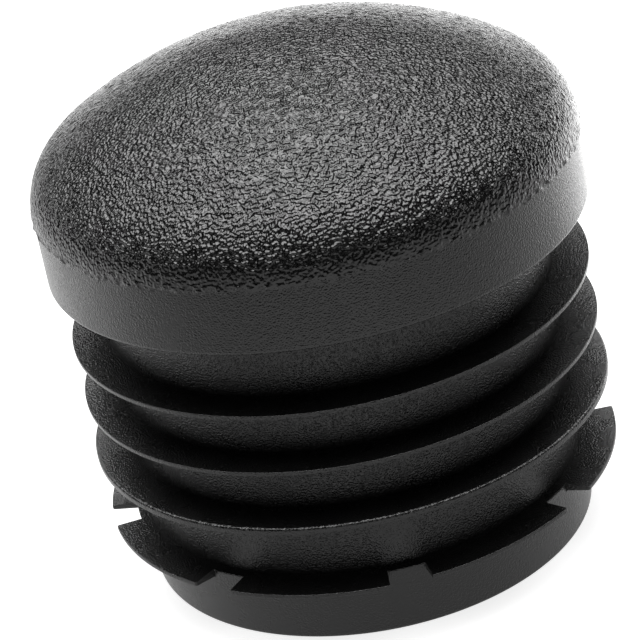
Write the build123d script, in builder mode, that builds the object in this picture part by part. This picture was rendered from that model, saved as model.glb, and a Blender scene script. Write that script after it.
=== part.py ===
from build123d import *
from math import atan2, degrees, radians, sqrt, tan
import os

# End cap for a round tube, moulded in one piece. A domed head closes the tube's end, and a hollow
# insert goes inside the tube, where three thin ribs and a ring of eight flaps bend to grip its wall.
# Sizes are in millimetres and degrees. +Z is the axis, towards the dome, and z = 0 is the open end.

# The tube that the cap is made for
tube_diameter = 40.0
tube_bore = 36.0

# Head: a smooth band with a grained dome on it
band_height = 5.1
grain_step = 0.1  # the dome stands out from the band by this much
rim_radius = 5.0  # the arc that turns the dome over into its vertical edge
crown_radius = 31.8  # the middle of the dome is part of a ball
head_edge = 0.3

# Insert: a straight core with a tapered collar at its open end
insert_length = 25.0
core_clearance = 1.4  # between the core and the tube's bore
collar_ledge = 0.8  # the collar's top stands out from the core by this much
lead_in = 0.65  # how much the collar's radius shrinks down to the open end
collar_edge = 0.3

# Ribs: whole rings with flat upper faces and sloping undersides
rib_count = 3
first_rib_drop = 5.1  # from the head down to the first rib's upper face
rib_pitch = 4.5
rib_bite = 1.3  # how far a rib reaches past the tube's bore, before it bends
rib_tip = 0.3
rib_flare = 0.4  # a rib is this much thicker at its root than at its tip
grip_rib_extra = 0.15  # the lowest rib reaches further out than the others
grip_rib_bevel = 0.2

# Flaps: a last ring, cut into eight by notches that stop at the collar
flap_drop = 5.6  # from the lowest rib's upper face down to the flaps' upper face
notch_count = 8
notch_angle = 9.2

# Hollow: open at the bottom, closed by the roof under the dome
core_wall = 2.0
roof = 2.6
ceiling_flat = 5.0  # radius of the flat middle of the ceiling, which slopes down from there
mouth_edge = 0.3

# Radii
band_radius = tube_diameter / 2
dome_radius = band_radius + grain_step
core_radius = tube_bore / 2 - core_clearance
collar_radius = core_radius + collar_ledge
hollow_radius = core_radius - core_wall
rib_radius = tube_bore / 2 + rib_bite

# Heights above the open end
shoulder = insert_length
dome_base = shoulder + band_height
rib_levels = [shoulder - first_rib_drop - rib_pitch * i for i in range(rib_count)]
flap_level = rib_levels[-1] - flap_drop

# The rim arc and the crown touch without a corner: their centres and the point where they meet
# lie on one line, which leans out from the axis.
rim_centre = dome_radius - rim_radius
crown_centre = dome_base - sqrt((crown_radius - rim_radius) ** 2 - rim_centre**2)
rim_sweep = degrees(atan2(dome_base - crown_centre, rim_centre))


def ceiling_height(radius):
    """Height on the ball that lies one roof thickness inside the crown."""
    return crown_centre + sqrt((crown_radius - roof) ** 2 - radius**2)


def ring_section(outer, level, tip):
    """Half the section of a rib: flat on top, and sloping below."""
    inner = core_radius - core_wall / 2
    root = level - tip - rib_flare
    with BuildSketch() as section:
        Polygon(
            (inner, root),
            (inner, level),
            (outer, level),
            (outer, level - tip),
            (core_radius, root),
            align=None,
        )
    return section.sketch


# The flaps are a whole ring first. Each notch cuts right through it, and the collar then fills
# the ring's middle again, so that the notches end at the collar's ledge.
with BuildPart() as flap_ring:
    with BuildSketch(Plane.XZ):
        add(ring_section(rib_radius, flap_level, rib_tip))
    revolve(axis=Axis.Z)
    notch_reach = 2 * rib_radius
    notch_half = notch_reach * tan(radians(notch_angle / 2))
    with BuildSketch(Plane.XY.offset(flap_level)):
        with PolarLocations(0, notch_count):
            Polygon((0, 0), (notch_reach, -notch_half), (notch_reach, notch_half), align=None)
    extrude(amount=-(rib_tip + rib_flare), mode=Mode.SUBTRACT)

with BuildPart() as end_cap:
    # Head and core
    with BuildSketch(Plane.XZ):
        with BuildLine():
            crown = CenterArc((0, crown_centre), crown_radius, rim_sweep, 90 - rim_sweep)
            CenterArc((rim_centre, dome_base), rim_radius, 0, rim_sweep)
            Polyline(
                (dome_radius, dome_base),
                (band_radius, dome_base),
                (band_radius, shoulder + head_edge),
                (band_radius - head_edge, shoulder),
                (0, shoulder),
                crown @ 1,
            )
        make_face()
    revolve(axis=Axis.Z)
    with BuildSketch(Plane.XY.offset(flap_level)):
        Circle(core_radius)
    extrude(until=Until.NEXT)

    # Collar
    with BuildSketch(Plane.XZ):
        Polygon(
            (0, 0),
            (collar_radius - lead_in - collar_edge, 0),
            (collar_radius - lead_in, collar_edge),
            (collar_radius, flap_level),
            (0, flap_level),
            align=None,
        )
    revolve(axis=Axis.Z)

    # Ribs and flaps
    with BuildSketch(Plane.XZ):
        for level in rib_levels[:-1]:
            add(ring_section(rib_radius, level, rib_tip))
        grip_radius = rib_radius + grip_rib_extra
        add(ring_section(grip_radius, rib_levels[-1], rib_tip + grip_rib_bevel))
    revolve(axis=Axis.Z)
    grip_rib_face = end_cap.edges().filter_by_position(Axis.Z, rib_levels[-1], rib_levels[-1])
    chamfer(grip_rib_face.sort_by(SortBy.RADIUS)[-1], grip_rib_bevel)
    add(flap_ring.part)

    # Hollow
    with BuildSketch(Plane.XZ):
        Polygon(
            (0, 0),
            (hollow_radius + mouth_edge, 0),
            (hollow_radius, mouth_edge),
            (hollow_radius, ceiling_height(hollow_radius)),
            (ceiling_flat, ceiling_height(ceiling_flat)),
            (0, ceiling_height(ceiling_flat)),
            align=None,
        )
    revolve(axis=Axis.Z, mode=Mode.SUBTRACT)

end_cap.part.label = "end_cap"

os.makedirs("parts", exist_ok=True)
export_step(end_cap.part, "parts/end_cap.step")
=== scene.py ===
import math

import bmesh
import bpy
import numpy as np
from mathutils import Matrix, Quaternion, Vector


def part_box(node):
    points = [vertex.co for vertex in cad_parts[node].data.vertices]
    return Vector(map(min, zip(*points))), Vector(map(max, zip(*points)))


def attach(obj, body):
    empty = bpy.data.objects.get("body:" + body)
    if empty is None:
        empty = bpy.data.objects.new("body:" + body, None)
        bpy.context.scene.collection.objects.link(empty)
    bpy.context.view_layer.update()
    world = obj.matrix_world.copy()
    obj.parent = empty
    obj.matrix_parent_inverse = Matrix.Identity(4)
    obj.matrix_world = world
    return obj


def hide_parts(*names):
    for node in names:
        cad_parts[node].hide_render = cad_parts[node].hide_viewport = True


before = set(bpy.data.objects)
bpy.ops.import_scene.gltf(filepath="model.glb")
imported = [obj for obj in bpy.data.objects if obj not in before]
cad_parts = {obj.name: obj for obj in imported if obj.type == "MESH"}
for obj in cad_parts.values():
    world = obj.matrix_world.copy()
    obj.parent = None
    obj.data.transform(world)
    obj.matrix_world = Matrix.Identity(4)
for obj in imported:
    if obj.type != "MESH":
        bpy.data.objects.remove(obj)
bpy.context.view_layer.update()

# A domed end cap for a round tube, moulded in one piece of black polyethylene: a smooth band with a
# grained dome on it, and below them an insert with three thin ribs and a ring of eight flaps.
# Sizes are in millimetres and degrees, +Z is the axis, towards the dome, and z = 0 is the open end.
MM = 0.001
NODE = "end_cap"
BODY = "root"

low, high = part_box(NODE)
TOP = high.z / MM

# Head
BAND_RADIUS = 20.0
SHOULDER = 25.0
HEAD_EDGE = 0.3
DOME_BASE = 30.1
DOME_RADIUS = 20.1
RIM_RADIUS = 5.0
CROWN_RADIUS = 31.8
RIM_CENTRE = DOME_RADIUS - RIM_RADIUS
CROWN_CENTRE = TOP - CROWN_RADIUS
# Lean of the surface where the crown meets the rim, and lengths along the surface from the pole
RIM_LEAN = math.atan2(RIM_CENTRE, DOME_BASE - CROWN_CENTRE)
CROWN_RUN = CROWN_RADIUS * RIM_LEAN
DOME_RUN = CROWN_RUN + RIM_RADIUS * (math.pi / 2 - RIM_LEAN)

# Insert. A rib or flap is flat on top and slopes below, from its tip's thickness to more at its root.
CORE_RADIUS = 16.6
RIB_LEVELS = (19.9, 15.4, 10.9)
RIB_RADII = (19.3, 19.3, 19.45)
RIB_TIPS = (0.3, 0.3, 0.5)
RIB_EDGES = (0.05, 0.05, 0.2)  # radius of the upper edge
RIB_FLARE = 0.4
FLAP_LEVEL = 5.3
FLAP_RADIUS = 19.3
FLAP_TIP = 0.3
FLAP_CORNER = 0.12  # radius of a flap's corners, seen from above
NOTCHES = 8
NOTCH_ANGLE = 9.2
COLLAR_RADIUS = 17.4
COLLAR_END = 16.75
COLLAR_EDGE = 0.3
LEDGE_EDGE = 0.06
HOLLOW_RADIUS = 14.6
MOUTH_EDGE = 0.3
CEILING_EDGE = 33.25
CEILING_FLAT = 5.0
CEILING = 36.73
CEILING_CORNER = 0.5
ROOT = 0.15  # radius in an inner corner
TIP_EDGE = 0.05  # radius on a thin edge

# The body goes on under the dome's skin, this far below it and up to this lean of the surface, and
# its band's wall goes on above the dome's border by this much.
COVER_INSET = 0.45
COVER_LEAN = 85.0
COVER_WALL = 0.3

# The dome's skin goes on below its border, into the band, by a skirt that leans in, and rings (r, z)
# inside the body close it.
SKIRT = 0.6
SKIRT_LEAN = 0.42
UNDERSIDE = ((19.3, 30.0), (15.5, 35.2), (7.0, 38.3), (0.0, 38.9))

# Grain of the dome. The waves are in the mesh, and what is finer than its cells is in the material.
WAVE_LENGTHS = (0.45, 0.8)
WAVE_HEIGHT = 0.01
WAVE_COUNT = 160
WAVE_SEED = 5
RAGGED_HEIGHT = 0.05  # unevenness of the grain's lower border
RAGGED_WIDTH = 0.4
RAGGED_SEED = 6

# Fineness of the meshes
MERGE = 1e-7  # points closer than this, in metres, are one
ARC_STEPS = 5  # steps round a rounded corner
ARC_END = 0.15  # from a corner's arc to the point beside it, as a share of the radius
CROWN_POINTS = 16
RIM_POINTS = 8
UNDER_FLAP = 0.3  # height below a flap's root at which the sections of flap and notch are one again
NOTCH_STEPS = 8
FLAP_STEPS = 36
CORNER_POINTS = 5
CORNER_CROWDING = 1.5  # above 1, the points of a flap's corner stand closer at the notch
DOME_CELLS = 296  # cells along each side of the dome's grid
BODY_CREASE = 40.0  # edges that turn by more than this stay sharp
DOME_CREASE = 180.0

# ---------------------------------------------------------------- meshes


def grid_numbers(rows, columns):
    """Numbers of the points of a grid, row by row."""
    return np.arange(rows * columns).reshape(rows, columns)


def quads(numbers):
    """Corner numbers of the quads between the points of a grid."""
    corners = [numbers[:-1, :-1], numbers[:-1, 1:], numbers[1:, 1:], numbers[1:, :-1]]
    return np.stack(corners, axis=-1).reshape(-1, 4)


def closed_ring(numbers):
    """A grid's numbers with the first column again at the end, so that it closes round the axis."""
    return np.concatenate([numbers, numbers[:, :1]], axis=1)


def add_object(name, points, faces):
    """An object from its points in millimetres."""
    mesh = bpy.data.meshes.new(name)
    mesh.from_pydata((points * MM).tolist(), [], faces.tolist())
    made = bpy.data.objects.new(name, mesh)
    bpy.context.scene.collection.objects.link(made)
    return made


def add_piece(name, points, faces, crease):
    """A piece of the cap. Points at one place are merged, which also closes a row of points that lies at
    a pole, and the faces are turned outwards."""
    piece = add_object(name, points, faces)
    mesh = piece.data
    work = bmesh.new()
    work.from_mesh(mesh)
    bmesh.ops.remove_doubles(work, verts=work.verts, dist=MERGE)
    bmesh.ops.recalc_face_normals(work, faces=work.faces)
    work.to_mesh(mesh)
    work.free()
    mesh.shade_smooth()
    mesh.set_sharp_from_angle(angle=math.radians(crease))
    return piece


def rounded(corners):
    """Points of a section whose corners (r, z, radius) are rounded: each corner gives way to the arc
    of its radius that touches both of its straight runs, with one more point close to each end."""
    path = []
    for i, (r, z, radius) in enumerate(corners):
        here = np.array([r, z])
        if not radius:
            path.append(here)
            continue
        before = np.array(corners[i - 1][:2]) - here
        after = np.array(corners[i + 1][:2]) - here
        before /= np.linalg.norm(before)
        after /= np.linalg.norm(after)
        half = math.acos(np.clip(before @ after, -1, 1)) / 2
        bisector = (before + after) / np.linalg.norm(before + after)
        centre = here + bisector * radius / math.sin(half)
        start = here + before * radius / math.tan(half)
        end = here + after * radius / math.tan(half)
        turn = math.pi - 2 * half
        path.append(start + before * ARC_END * radius)
        for t in np.linspace(0, 1, ARC_STEPS + 1):
            from_start = (start - centre) * math.sin((1 - t) * turn)
            from_end = (end - centre) * math.sin(t * turn)
            path.append(centre + (from_start + from_end) / math.sin(turn))
        path.append(end + after * ARC_END * radius)
    return np.array(path)


def evenly(path, count):
    """As many points as asked, evenly spaced along a path."""
    steps = np.linalg.norm(np.diff(path, axis=0), axis=1)
    along = np.concatenate([[0], np.cumsum(steps)])
    places = np.linspace(0, along[-1], count)
    return np.stack([np.interp(places, along, path[:, k]) for k in (0, 1)], axis=1)


# ---------------------------------------------------------------- body


def head_section():
    """The head's half section down to the core: under the dome's skin it is the crown's and the rim's
    arcs less the inset, and then comes the band."""
    crown = np.linspace(0, RIM_LEAN, CROWN_POINTS)
    rim = np.linspace(RIM_LEAN, math.radians(COVER_LEAN), RIM_POINTS)[1:]
    crown_arc = CROWN_RADIUS - COVER_INSET
    rim_arc = RIM_RADIUS - COVER_INSET
    section = [(crown_arc * math.sin(t), CROWN_CENTRE + crown_arc * math.cos(t), 0) for t in crown]
    section += [(RIM_CENTRE + rim_arc * math.sin(t), DOME_BASE + rim_arc * math.cos(t), 0) for t in rim]
    section += [
        (BAND_RADIUS, DOME_BASE + COVER_WALL, 0),
        (BAND_RADIUS, SHOULDER, HEAD_EDGE),
        (CORE_RADIUS, SHOULDER, ROOT),
    ]
    return section


def body_sections():
    """The body's half section twice, with as many points each: through a flap, and through a notch."""
    upper = head_section()
    for level, radius, tip, edge in zip(RIB_LEVELS, RIB_RADII, RIB_TIPS, RIB_EDGES):
        upper += [
            (CORE_RADIUS, level, 0),
            (radius, level, edge),
            (radius, level - tip, TIP_EDGE),
            (CORE_RADIUS, level - tip - RIB_FLARE, ROOT),
        ]
    upper += [(CORE_RADIUS, FLAP_LEVEL, 0), (COLLAR_RADIUS, FLAP_LEVEL, 0)]

    # The collar's cone leans in, and a flap's underside meets it where both lines have one height.
    lean = (COLLAR_RADIUS - COLLAR_END) / FLAP_LEVEL
    slope = RIB_FLARE / (FLAP_RADIUS - CORE_RADIUS)
    drop = (FLAP_TIP + slope * (FLAP_RADIUS - COLLAR_RADIUS)) / (1 - slope * lean)
    clear = drop + UNDER_FLAP
    ledge_start = (COLLAR_RADIUS - FLAP_CORNER, FLAP_LEVEL, 0)
    cone = (COLLAR_RADIUS - lean * clear, FLAP_LEVEL - clear, 0)
    flap = rounded([
        ledge_start,
        (FLAP_RADIUS, FLAP_LEVEL, TIP_EDGE),
        (FLAP_RADIUS, FLAP_LEVEL - FLAP_TIP, TIP_EDGE),
        (COLLAR_RADIUS - lean * drop, FLAP_LEVEL - drop, ROOT),
        cone,
    ])
    ledge = rounded([ledge_start, (COLLAR_RADIUS, FLAP_LEVEL, LEDGE_EDGE), cone])
    lower = [
        cone,
        (COLLAR_END, 0, COLLAR_EDGE),
        (HOLLOW_RADIUS, 0, MOUTH_EDGE),
        (HOLLOW_RADIUS, CEILING_EDGE, CEILING_CORNER),
        (CEILING_FLAT, CEILING, CEILING_CORNER),
        (0, CEILING, 0),
    ]
    above = rounded(upper)[:-1]
    below = rounded(lower)[1:]
    through_flap = np.concatenate([above, flap, below])
    through_notch = np.concatenate([above, evenly(ledge, len(flap)), below])
    return through_flap, through_notch


def body_columns():
    """Angles of the body's columns, and how far each is a flap: 0 in a notch and 1 on a flap. Both edges
    of a notch have two columns at one angle, which makes its wall, and the flap's corner is a small arc."""
    half = NOTCH_ANGLE / 2
    period = 360 / NOTCHES
    away = FLAP_CORNER * np.linspace(0, 1, CORNER_POINTS) ** CORNER_CROWDING
    short = FLAP_CORNER - np.sqrt(FLAP_CORNER**2 - (FLAP_CORNER - away) ** 2)
    near = 1 - short / (FLAP_RADIUS - COLLAR_RADIUS)
    turn = np.degrees(away / FLAP_RADIUS)
    notch = np.linspace(-half, half, NOTCH_STEPS + 1)
    flap = np.linspace(half + turn[-1], period - half - turn[-1], FLAP_STEPS + 1)[1:-1]
    angles = np.concatenate([notch, half + turn, flap, period - half - turn[::-1]])
    share = np.concatenate([0 * notch, near, np.ones(len(flap)), near[::-1]])
    starts = np.arange(NOTCHES) * period
    return (starts[:, None] + angles).ravel(), np.tile(share, NOTCHES)


def make_body():
    """The band and the whole insert: the half section (r, z) turned about the axis, at
    (r cos a, r sin a, z), where the section goes from the notch's to the flap's by the column's share."""
    flap, notch = body_sections()
    angles, share = body_columns()
    section = notch[:, None] + (flap - notch)[:, None] * share[None, :, None]
    a = np.radians(angles)
    r, z = section[..., 0], section[..., 1]
    points = np.stack([r * np.cos(a), r * np.sin(a), z + 0 * a], axis=-1).reshape(-1, 3)
    return add_piece("ribbed_body", points, quads(closed_ring(grid_numbers(*r.shape))), BODY_CREASE)


# ---------------------------------------------------------------- dome


def dome_meridian(run):
    """Radius, height and lean of the outward normal at a length of surface from the pole: a ball's arc,
    then the rim's smaller arc, and then a short straight skirt that dives into the band."""
    crown = run / CROWN_RADIUS
    rim = RIM_LEAN + (run - CROWN_RUN) / RIM_RADIUS
    below = run - DOME_RUN
    places = [run <= CROWN_RUN, run <= DOME_RUN]
    r = np.select(
        places,
        [CROWN_RADIUS * np.sin(crown), RIM_CENTRE + RIM_RADIUS * np.sin(rim)],
        DOME_RADIUS - SKIRT_LEAN * below,
    )
    z = np.select(
        places,
        [CROWN_CENTRE + CROWN_RADIUS * np.cos(crown), DOME_BASE + RIM_RADIUS * np.cos(rim)],
        DOME_BASE - below,
    )
    return r, z, np.select(places, [crown, rim], math.pi / 2)


def waves(points, seed):
    """Uneven height of mean 0 and deviation 1: many plane waves, each of a random direction, phase and
    length between two limits, added up at the points."""
    random = np.random.default_rng(seed)
    direction = random.normal(size=(WAVE_COUNT, 3))
    direction /= np.linalg.norm(direction, axis=1, keepdims=True)
    shortest, longest = WAVE_LENGTHS
    turns = 2 * math.pi * random.uniform(1 / longest, 1 / shortest, WAVE_COUNT)
    phase = random.uniform(0, 2 * math.pi, WAVE_COUNT)
    total = np.zeros(len(points))
    for way, rate, start in zip(direction, turns, phase):
        total += np.cos(rate * (points @ way) + start)
    return total * math.sqrt(2 / WAVE_COUNT)


def make_dome():
    """The dome's grained skin. A square grid is laid onto a disc, where the larger of |u| and |v| is the
    share of the way from pole to edge and their ratio the angle, so that all its cells are about as
    large. The waves move each point along its normal. Rings inside the body close the skin below."""
    side = np.linspace(-1, 1, DOME_CELLS + 1)
    u, v = np.meshgrid(side, side, indexing="ij")
    share = np.maximum(abs(u), abs(v))
    safe = np.where(share == 0, 1, share)
    beside = np.pi / 4 * v / safe * np.sign(u) + np.where(u < 0, np.pi, 0)
    across = np.pi / 2 * np.sign(v) - np.pi / 4 * u / safe * np.sign(v)
    angle = np.where(abs(u) >= abs(v), beside, across)
    run = share * (DOME_RUN + SKIRT)
    r, z, lean = dome_meridian(run)
    out = np.stack([np.cos(angle), np.sin(angle), 0 * angle], axis=-1)
    up = np.array([0.0, 0.0, 1.0])
    smooth = out * r[..., None] + up * z[..., None]
    normal = out * np.sin(lean)[..., None] + up * np.cos(lean)[..., None]
    ragged = np.clip((run - DOME_RUN) / RAGGED_WIDTH + 1, 0, 1).ravel()
    flat = smooth.reshape(-1, 3)
    height = WAVE_HEIGHT * waves(flat, WAVE_SEED) + RAGGED_HEIGHT * ragged * waves(flat, RAGGED_SEED)
    points = [flat + normal.reshape(-1, 3) * height[:, None]]

    numbers = grid_numbers(DOME_CELLS + 1, DOME_CELLS + 1)
    border = np.concatenate([numbers[:-1, 0], numbers[-1, :-1], numbers[:0:-1, -1], numbers[0, :0:-1]])
    rings = [border]
    for k, (radius, level) in enumerate(UNDERSIDE):
        rings.append(numbers.size + k * len(border) + np.arange(len(border)))
        points.append(out.reshape(-1, 3)[border] * radius + up * level)
    faces = np.concatenate([quads(numbers), quads(closed_ring(np.array(rings)))])
    return add_piece("grained_dome", np.concatenate(points), faces, DOME_CREASE)


# ---------------------------------------------------------------- materials

BLACK = "#0c0c0c"
WHITE = "#ffffff"
BOARD = "#c8c8c8"
CLOTH = "#101010"

# Solid polyethylene refracts by about 1.5. This is matched to the cap, whose skin shines more.
GLOSS_IOR = 1.7

# The mould's polish isn't even: the roughness drifts both ways over a few millimetres, and most of
# a noise's values lie in this span.
POLISH = 3.0
POLISH_DETAIL = 3.0
DRIFT = 0.03
NOISE_SPAN = (0.3, 0.7)

# Band and insert come from a spark-eroded wall, which leaves a satin of fine pits. It breaks the
# mirrored board into a soft, slightly speckled grey. Each skin is the size of its cells and its depth.
# Real pits of 0.03 mm would be too fine to show, so they are drawn coarser, at 0.12 mm.
SATIN_ROUGHNESS = 0.28
SATIN_SKINS = [(0.12, 0.055)]

# The dome comes from an etched wall with a coarse, rounded leather grain. Its cells are drawn in
# their real size. It makes small glossy plates with dark furrows between them, and glints at the rim.
# On a mould's steep walls such a grain is etched less deep, so it deepens from the low height to the
# high one, and below them it has this share of its depth.
GRAIN_ROUGHNESS = 0.25
GRAIN_SKINS = [(0.19, 0.18), (0.25, 0.24)]
GRAIN_RISE = (31.5, 34.0)
GRAIN_LEAST = 0.45
SKIN_DETAIL = 0.0


def linear(code):
    """The linear colour of an sRGB hex code."""
    parts = [int(code[k : k + 2], 16) / 255 for k in (1, 3, 5)]
    return [p / 12.92 if p <= 0.04045 else ((p + 0.055) / 1.055) ** 2.4 for p in parts] + [1.0]


def add_node(tree, kind, inputs=(), **settings):
    """A node with its settings, and with inputs that are values or other nodes' outputs."""
    made = tree.nodes.new(kind)
    for key, value in settings.items():
        setattr(made, key, value)
    for key, value in dict(inputs).items():
        if isinstance(value, bpy.types.NodeSocket):
            tree.links.new(value, made.inputs[key])
        else:
            made.inputs[key].default_value = value
    return made


def empty_tree(owner):
    """The node tree of a material or world, with nothing in it."""
    owner.use_nodes = True
    owner.node_tree.nodes.clear()
    return owner.node_tree


def scale_of(size):
    """A texture's scale for features of a size in millimetres."""
    return 1 / (size * MM)


def moulded_polyethylene(name, roughness, skins, least):
    """Black polyethylene from a mould, with skins of fine unevenness laid over each other. On the dome's
    steep rim they are shallower, down to the least share of their depth."""
    material = bpy.data.materials.new(name)
    tree = empty_tree(material)
    where = add_node(tree, "ShaderNodeTexCoord").outputs["Object"]
    place = add_node(tree, "ShaderNodeSeparateXYZ", {"Vector": where})
    start, end = GRAIN_RISE
    share = add_node(
        tree,
        "ShaderNodeMapRange",
        {
            "Value": place.outputs["Z"],
            "From Min": start * MM,
            "From Max": end * MM,
            "To Min": least,
            "To Max": 1.0,
        },
    )
    normal = {}
    for cell, depth in skins:
        skin = add_node(
            tree, "ShaderNodeTexNoise", {"Vector": where, "Scale": scale_of(cell), "Detail": SKIN_DETAIL}
        )
        bump = add_node(
            tree,
            "ShaderNodeBump",
            {
                "Height": skin.outputs["Fac"],
                "Distance": depth * MM,
                "Strength": share.outputs["Result"],
                **normal,
            },
        )
        normal = {"Normal": bump.outputs["Normal"]}
    polish = add_node(
        tree, "ShaderNodeTexNoise", {"Vector": where, "Scale": scale_of(POLISH), "Detail": POLISH_DETAIL}
    )
    lowest, highest = NOISE_SPAN
    rough = add_node(
        tree,
        "ShaderNodeMapRange",
        {
            "Value": polish.outputs["Fac"],
            "From Min": lowest,
            "From Max": highest,
            "To Min": roughness - DRIFT,
            "To Max": roughness + DRIFT,
        },
    )
    shader = add_node(
        tree,
        "ShaderNodeBsdfPrincipled",
        {"Base Color": linear(BLACK), "Roughness": rough.outputs["Result"], "IOR": GLOSS_IOR, **normal},
    )
    add_node(tree, "ShaderNodeOutputMaterial", {"Surface": shader.outputs["BSDF"]})
    return material


# ---------------------------------------------------------------- studio

# The floor is a matt white board. Seen straight on it glows a little, and wholly at its far end.
FLOOR_REACH = 4000.0
FLOOR_SEEN = 0.8
FLOOR_NEAR = 75.0  # distances from the object
FLOOR_FAR = 280.0

# Painted reflection: for reflections only the board glows, though it is no lamp, dim in front and bright
# behind.
# To the sides it has one level, which doubles with each step of the gain towards the back, near and far, up
# to the most, near and far.
BACK_WAY = (0.084, 0.996, 0.0)
FLOOR_SIDE = 0.9
FLOOR_RISE = 2.0
FLOOR_GAIN = (1.25, 2.2)
FLOOR_MOST = (1.45, 0.75)

# A painted reflection of light on a wedge of the board at the back right, from one cosine to the other, which
# only reflections see.
# Close to the object it is dimmer, which is painted shade.
PAINTED_WEDGE_WAY = (0.466, 0.885, 0.0)
PAINTED_WEDGE_EDGES = (0.68, 0.9)
PAINTED_WEDGE_LEVEL = 2.3
PAINTED_WEDGE_REACH = (40.0, 110.0)
PAINTED_WEDGE_NEAR = 0.55

# A painted pool of light on the board in front of the object, which only reflections see
PAINTED_POOL_PLACE = (-6.0, -72.0, 0.0)
PAINTED_POOL_RADIUS = 75.0
PAINTED_POOL_LEVEL = 0.38

# Black cloth stands round the board
CLOTH_RADIUS = 1400.0
CLOTH_HEIGHT = 1650.0
CLOTH_POINTS = 49

# Light of the room, on all that isn't seen or mirrored
ROOM = 0.05

# The soft box hangs high behind the object
BOX_HEIGHT = 71.0
BOX_TURN = 180.0
BOX_DISTANCE = 800.0
BOX_SIZE = (1600.0, 1700.0)
BOX_SHIFT = 120.0
BOX_SPREAD = 110.0
BOX_WATTS = 14.3

# The camera's turn about the object, its height above the floor and its roll
VIEW_TURN = -4.8
VIEW_HEIGHT = 26.32
VIEW_ROLL = -11.3
VIEW_DISTANCE = 232.4
VIEW_AIM = (-1.38, -2.97, 18.78)
LENS = 179.0
SENSOR = 36.0
CLIP = (0.01, 20.0)  # metres


def straight_on(tree, ray):
    """1 for what is seen, also through glass, and 0 for all else."""
    return add_node(
        tree,
        "ShaderNodeMath",
        {0: ray.outputs["Is Camera Ray"], 1: ray.outputs["Is Transmission Ray"]},
        operation="ADD",
        use_clamp=True,
    )


def seen_board(tree, ray, away):
    """The board as it is seen: matt, with a glow that grows with the distance from the object."""
    pale = add_node(
        tree,
        "ShaderNodeMapRange",
        {"Value": away, "From Max": FLOOR_FAR * MM, "To Min": FLOOR_SEEN, "To Max": 1.0},
    )
    extra = add_node(
        tree,
        "ShaderNodeMath",
        {0: straight_on(tree, ray).outputs[0], 1: pale.outputs["Result"]},
        operation="MULTIPLY",
    )
    matt = add_node(tree, "ShaderNodeBsdfDiffuse", {"Color": linear(BOARD)})
    glow = add_node(tree, "ShaderNodeEmission", {"Color": linear(WHITE), "Strength": extra.outputs[0]})
    return add_node(tree, "ShaderNodeAddShader", {0: matt.outputs[0], 1: glow.outputs[0]})


def painted_rising_level(tree, way, away):
    """Level of the painted reflection of the board, at which it glows for reflections: side * rise ^ (gain *
    cosine to the back), and at most the most, where gain and most go from their near to their far value with
    the distance from the object."""
    behind = add_node(tree, "ShaderNodeVectorMath", {0: way, 1: BACK_WAY}, operation="DOT_PRODUCT")
    gain_near, gain_far = FLOOR_GAIN
    gain = add_node(
        tree,
        "ShaderNodeMapRange",
        {"Value": away, "From Max": FLOOR_FAR * MM, "To Min": gain_near, "To Max": gain_far},
    )
    power = add_node(
        tree,
        "ShaderNodeMath",
        {0: behind.outputs["Value"], 1: gain.outputs["Result"]},
        operation="MULTIPLY",
    )
    rise = add_node(tree, "ShaderNodeMath", {0: FLOOR_RISE, 1: power.outputs[0]}, operation="POWER")
    side = add_node(tree, "ShaderNodeMath", {0: rise.outputs[0], 1: FLOOR_SIDE}, operation="MULTIPLY")
    most_near, most_far = FLOOR_MOST
    most = add_node(
        tree,
        "ShaderNodeMapRange",
        {
            "Value": away,
            "From Min": FLOOR_NEAR * MM,
            "From Max": FLOOR_FAR * MM,
            "To Min": most_near,
            "To Max": most_far,
        },
    )
    return add_node(
        tree, "ShaderNodeMath", {0: side.outputs[0], 1: most.outputs["Result"]}, operation="MINIMUM"
    )


def painted_wedge_level(tree, way, away):
    """Painted light of a soft wedge on the mirrored board, times its rise with the distance, which makes it
    darker close to the object as painted shade.
    """
    toward = add_node(tree, "ShaderNodeVectorMath", {0: way, 1: PAINTED_WEDGE_WAY}, operation="DOT_PRODUCT")
    narrow, wide = PAINTED_WEDGE_EDGES
    wedge = add_node(
        tree,
        "ShaderNodeMapRange",
        {"Value": toward.outputs["Value"], "From Min": narrow, "From Max": wide, "To Max": PAINTED_WEDGE_LEVEL},
        interpolation_type="SMOOTHSTEP",
    )
    close, full = PAINTED_WEDGE_REACH
    # Painted shade: the wedge is dimmer close to the object.
    along = add_node(
        tree,
        "ShaderNodeMapRange",
        {"Value": away, "From Min": close * MM, "From Max": full * MM, "To Min": PAINTED_WEDGE_NEAR},
    )
    return add_node(
        tree,
        "ShaderNodeMath",
        {0: wedge.outputs["Result"], 1: along.outputs["Result"]},
        operation="MULTIPLY",
    )


def painted_pool_level(tree, where):
    """Painted pool of light on the mirrored board, which fades out to its radius."""
    centre = [part * MM for part in PAINTED_POOL_PLACE]
    off = add_node(tree, "ShaderNodeVectorMath", {0: where, 1: centre}, operation="DISTANCE")
    return add_node(
        tree,
        "ShaderNodeMapRange",
        {
            "Value": off.outputs["Value"],
            "From Max": PAINTED_POOL_RADIUS * MM,
            "To Min": PAINTED_POOL_LEVEL,
            "To Max": 0.0,
        },
        interpolation_type="SMOOTHSTEP",
    )


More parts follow.
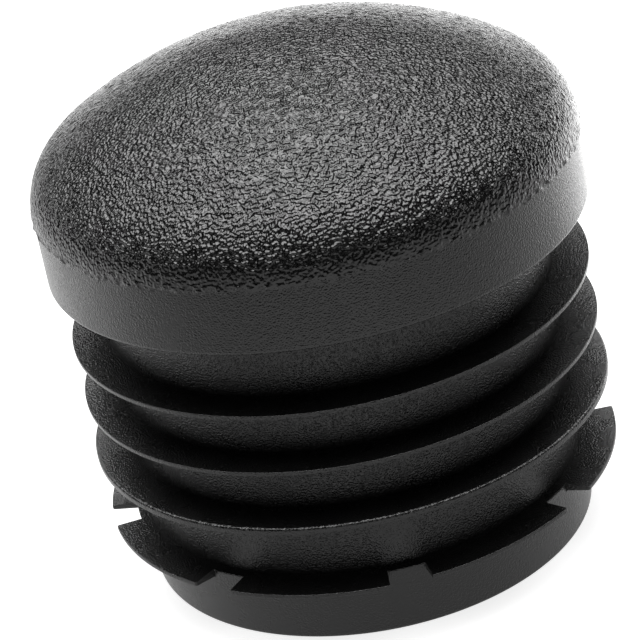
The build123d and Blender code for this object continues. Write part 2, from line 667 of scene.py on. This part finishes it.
def make_floor():
    """The white board: a square that is matt and pale where it is seen, and keeps the object's shadow.
    Reflections see a painted reflection instead: the board glows at its rising level, with a painted pool and
    a painted wedge of light on it."""
    corners = np.array([(-1, -1, 0), (1, -1, 0), (1, 1, 0), (-1, 1, 0)]) * FLOOR_REACH
    floor = add_object("floor", corners, np.array([(0, 1, 2, 3)]))
    material = bpy.data.materials.new("white_board")
    tree = empty_tree(material)
    ray = add_node(tree, "ShaderNodeLightPath")
    where = add_node(tree, "ShaderNodeTexCoord").outputs["Object"]
    away = add_node(tree, "ShaderNodeVectorMath", {0: where}, operation="LENGTH").outputs["Value"]
    way = add_node(tree, "ShaderNodeVectorMath", {0: where}, operation="NORMALIZE").outputs[0]
    board = seen_board(tree, ray, away)
    even = painted_rising_level(tree, way, away)
    # Painted pool of light and painted wedge of light, which only reflections see
    painted_pool = painted_pool_level(tree, where)
    painted_wedge = painted_wedge_level(tree, way, away)
    both = add_node(tree, "ShaderNodeMath", {0: even.outputs[0], 1: painted_pool.outputs["Result"]}, operation="ADD")
    level = add_node(tree, "ShaderNodeMath", {0: both.outputs[0], 1: painted_wedge.outputs[0]}, operation="ADD")
    # Painted reflection: glossy rays see the board glow at this level instead of as it is lit.
    mirrored = add_node(
        tree, "ShaderNodeEmission", {"Color": linear(WHITE), "Strength": level.outputs[0]}
    )
    surface = add_node(
        tree,
        "ShaderNodeMixShader",
        {0: ray.outputs["Is Glossy Ray"], 1: board.outputs[0], 2: mirrored.outputs[0]},
    )
    add_node(tree, "ShaderNodeOutputMaterial", {"Surface": surface.outputs[0]})
    material.cycles.emission_sampling = "NONE"
    floor.data.materials.append(material)


def make_cloth():
    """A wall of black cloth round the board, at (r cos a, r sin a, z), which only reflections see. It
    darkens the low part of the room, so that a steep glossy wall has a dark zone."""
    a = np.linspace(0, 2 * np.pi, CLOTH_POINTS)
    ring = np.stack([CLOTH_RADIUS * np.cos(a), CLOTH_RADIUS * np.sin(a), 0 * a], axis=-1)
    points = np.concatenate([ring, ring + (0, 0, CLOTH_HEIGHT)])
    cloth = add_object("black_cloth", points, quads(grid_numbers(2, CLOTH_POINTS)))
    cloth.visible_camera = False
    cloth.visible_transmission = False
    cloth.visible_shadow = False
    material = bpy.data.materials.new("black_cloth")
    tree = empty_tree(material)
    matt = add_node(tree, "ShaderNodeBsdfDiffuse", {"Color": linear(CLOTH)})
    add_node(tree, "ShaderNodeOutputMaterial", {"Surface": matt.outputs[0]})
    cloth.data.materials.append(material)


def make_world():
    """The room: white where it is seen or mirrored, and dim as a light."""
    world = bpy.data.worlds.new("studio")
    bpy.context.scene.world = world
    tree = empty_tree(world)
    world.cycles.sampling_method = "NONE"
    ray = add_node(tree, "ShaderNodeLightPath")
    seen = add_node(
        tree,
        "ShaderNodeMath",
        {0: straight_on(tree, ray).outputs[0], 1: ray.outputs["Is Glossy Ray"]},
        operation="ADD",
        use_clamp=True,
    )
    strength = add_node(tree, "ShaderNodeMix", {"Factor": seen.outputs[0], "A": ROOM, "B": 1.0})
    back = add_node(
        tree, "ShaderNodeBackground", {"Color": linear(WHITE), "Strength": strength.outputs["Result"]}
    )
    add_node(tree, "ShaderNodeOutputWorld", {"Surface": back.outputs[0]})


def facing(turn, height):
    """The direction at a turn to the right of the camera's and at a height above the floor."""
    a = math.radians(turn + VIEW_TURN)
    e = math.radians(height)
    return Vector((math.sin(a) * math.cos(e), -math.cos(a) * math.cos(e), math.sin(e)))


def make_soft_box():
    """A large soft lamp that faces the object. Along its own plane it is shifted upwards."""
    light = bpy.data.lights.new("soft_box", "AREA")
    light.shape = "RECTANGLE"
    light.size, light.size_y = [side * MM for side in BOX_SIZE]
    light.spread = math.radians(BOX_SPREAD)
    light.energy = BOX_WATTS
    lamp = bpy.data.objects.new("soft_box", light)
    back = facing(BOX_TURN, BOX_HEIGHT)
    lamp.rotation_mode = "QUATERNION"
    lamp.rotation_quaternion = back.to_track_quat("Z", "Y")
    upward = lamp.rotation_quaternion @ Vector((0, 1, 0))
    if upward.z < 0:
        upward = -upward
    lamp.location = (back * BOX_DISTANCE + upward * BOX_SHIFT) * MM
    bpy.context.scene.collection.objects.link(lamp)


def make_camera():
    """The camera, which looks at its aim from its distance and rolls about that line."""
    camera = bpy.data.cameras.new("camera")
    camera.lens = LENS
    camera.sensor_width = SENSOR
    camera.clip_start, camera.clip_end = CLIP
    holder = bpy.data.objects.new("camera", camera)
    back = facing(0, VIEW_HEIGHT)
    holder.location = (Vector(VIEW_AIM) + back * VIEW_DISTANCE) * MM
    holder.rotation_mode = "QUATERNION"
    roll = Quaternion((0, 0, 1), math.radians(VIEW_ROLL))
    holder.rotation_quaternion = back.to_track_quat("Z", "Y") @ roll
    bpy.context.scene.collection.objects.link(holder)
    bpy.context.scene.camera = holder


make_camera()
make_world()
make_floor()
make_cloth()
make_soft_box()

body = make_body()
dome = make_dome()
satin = moulded_polyethylene("satin_polyethylene", SATIN_ROUGHNESS, SATIN_SKINS, 1.0)
grained = moulded_polyethylene("grained_polyethylene", GRAIN_ROUGHNESS, GRAIN_SKINS, GRAIN_LEAST)
body.data.materials.append(satin)
dome.data.materials.append(grained)
for piece in (body, dome):
    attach(piece, BODY)
    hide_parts(NODE)

bpy.context.scene.view_settings.view_transform = "Standard"
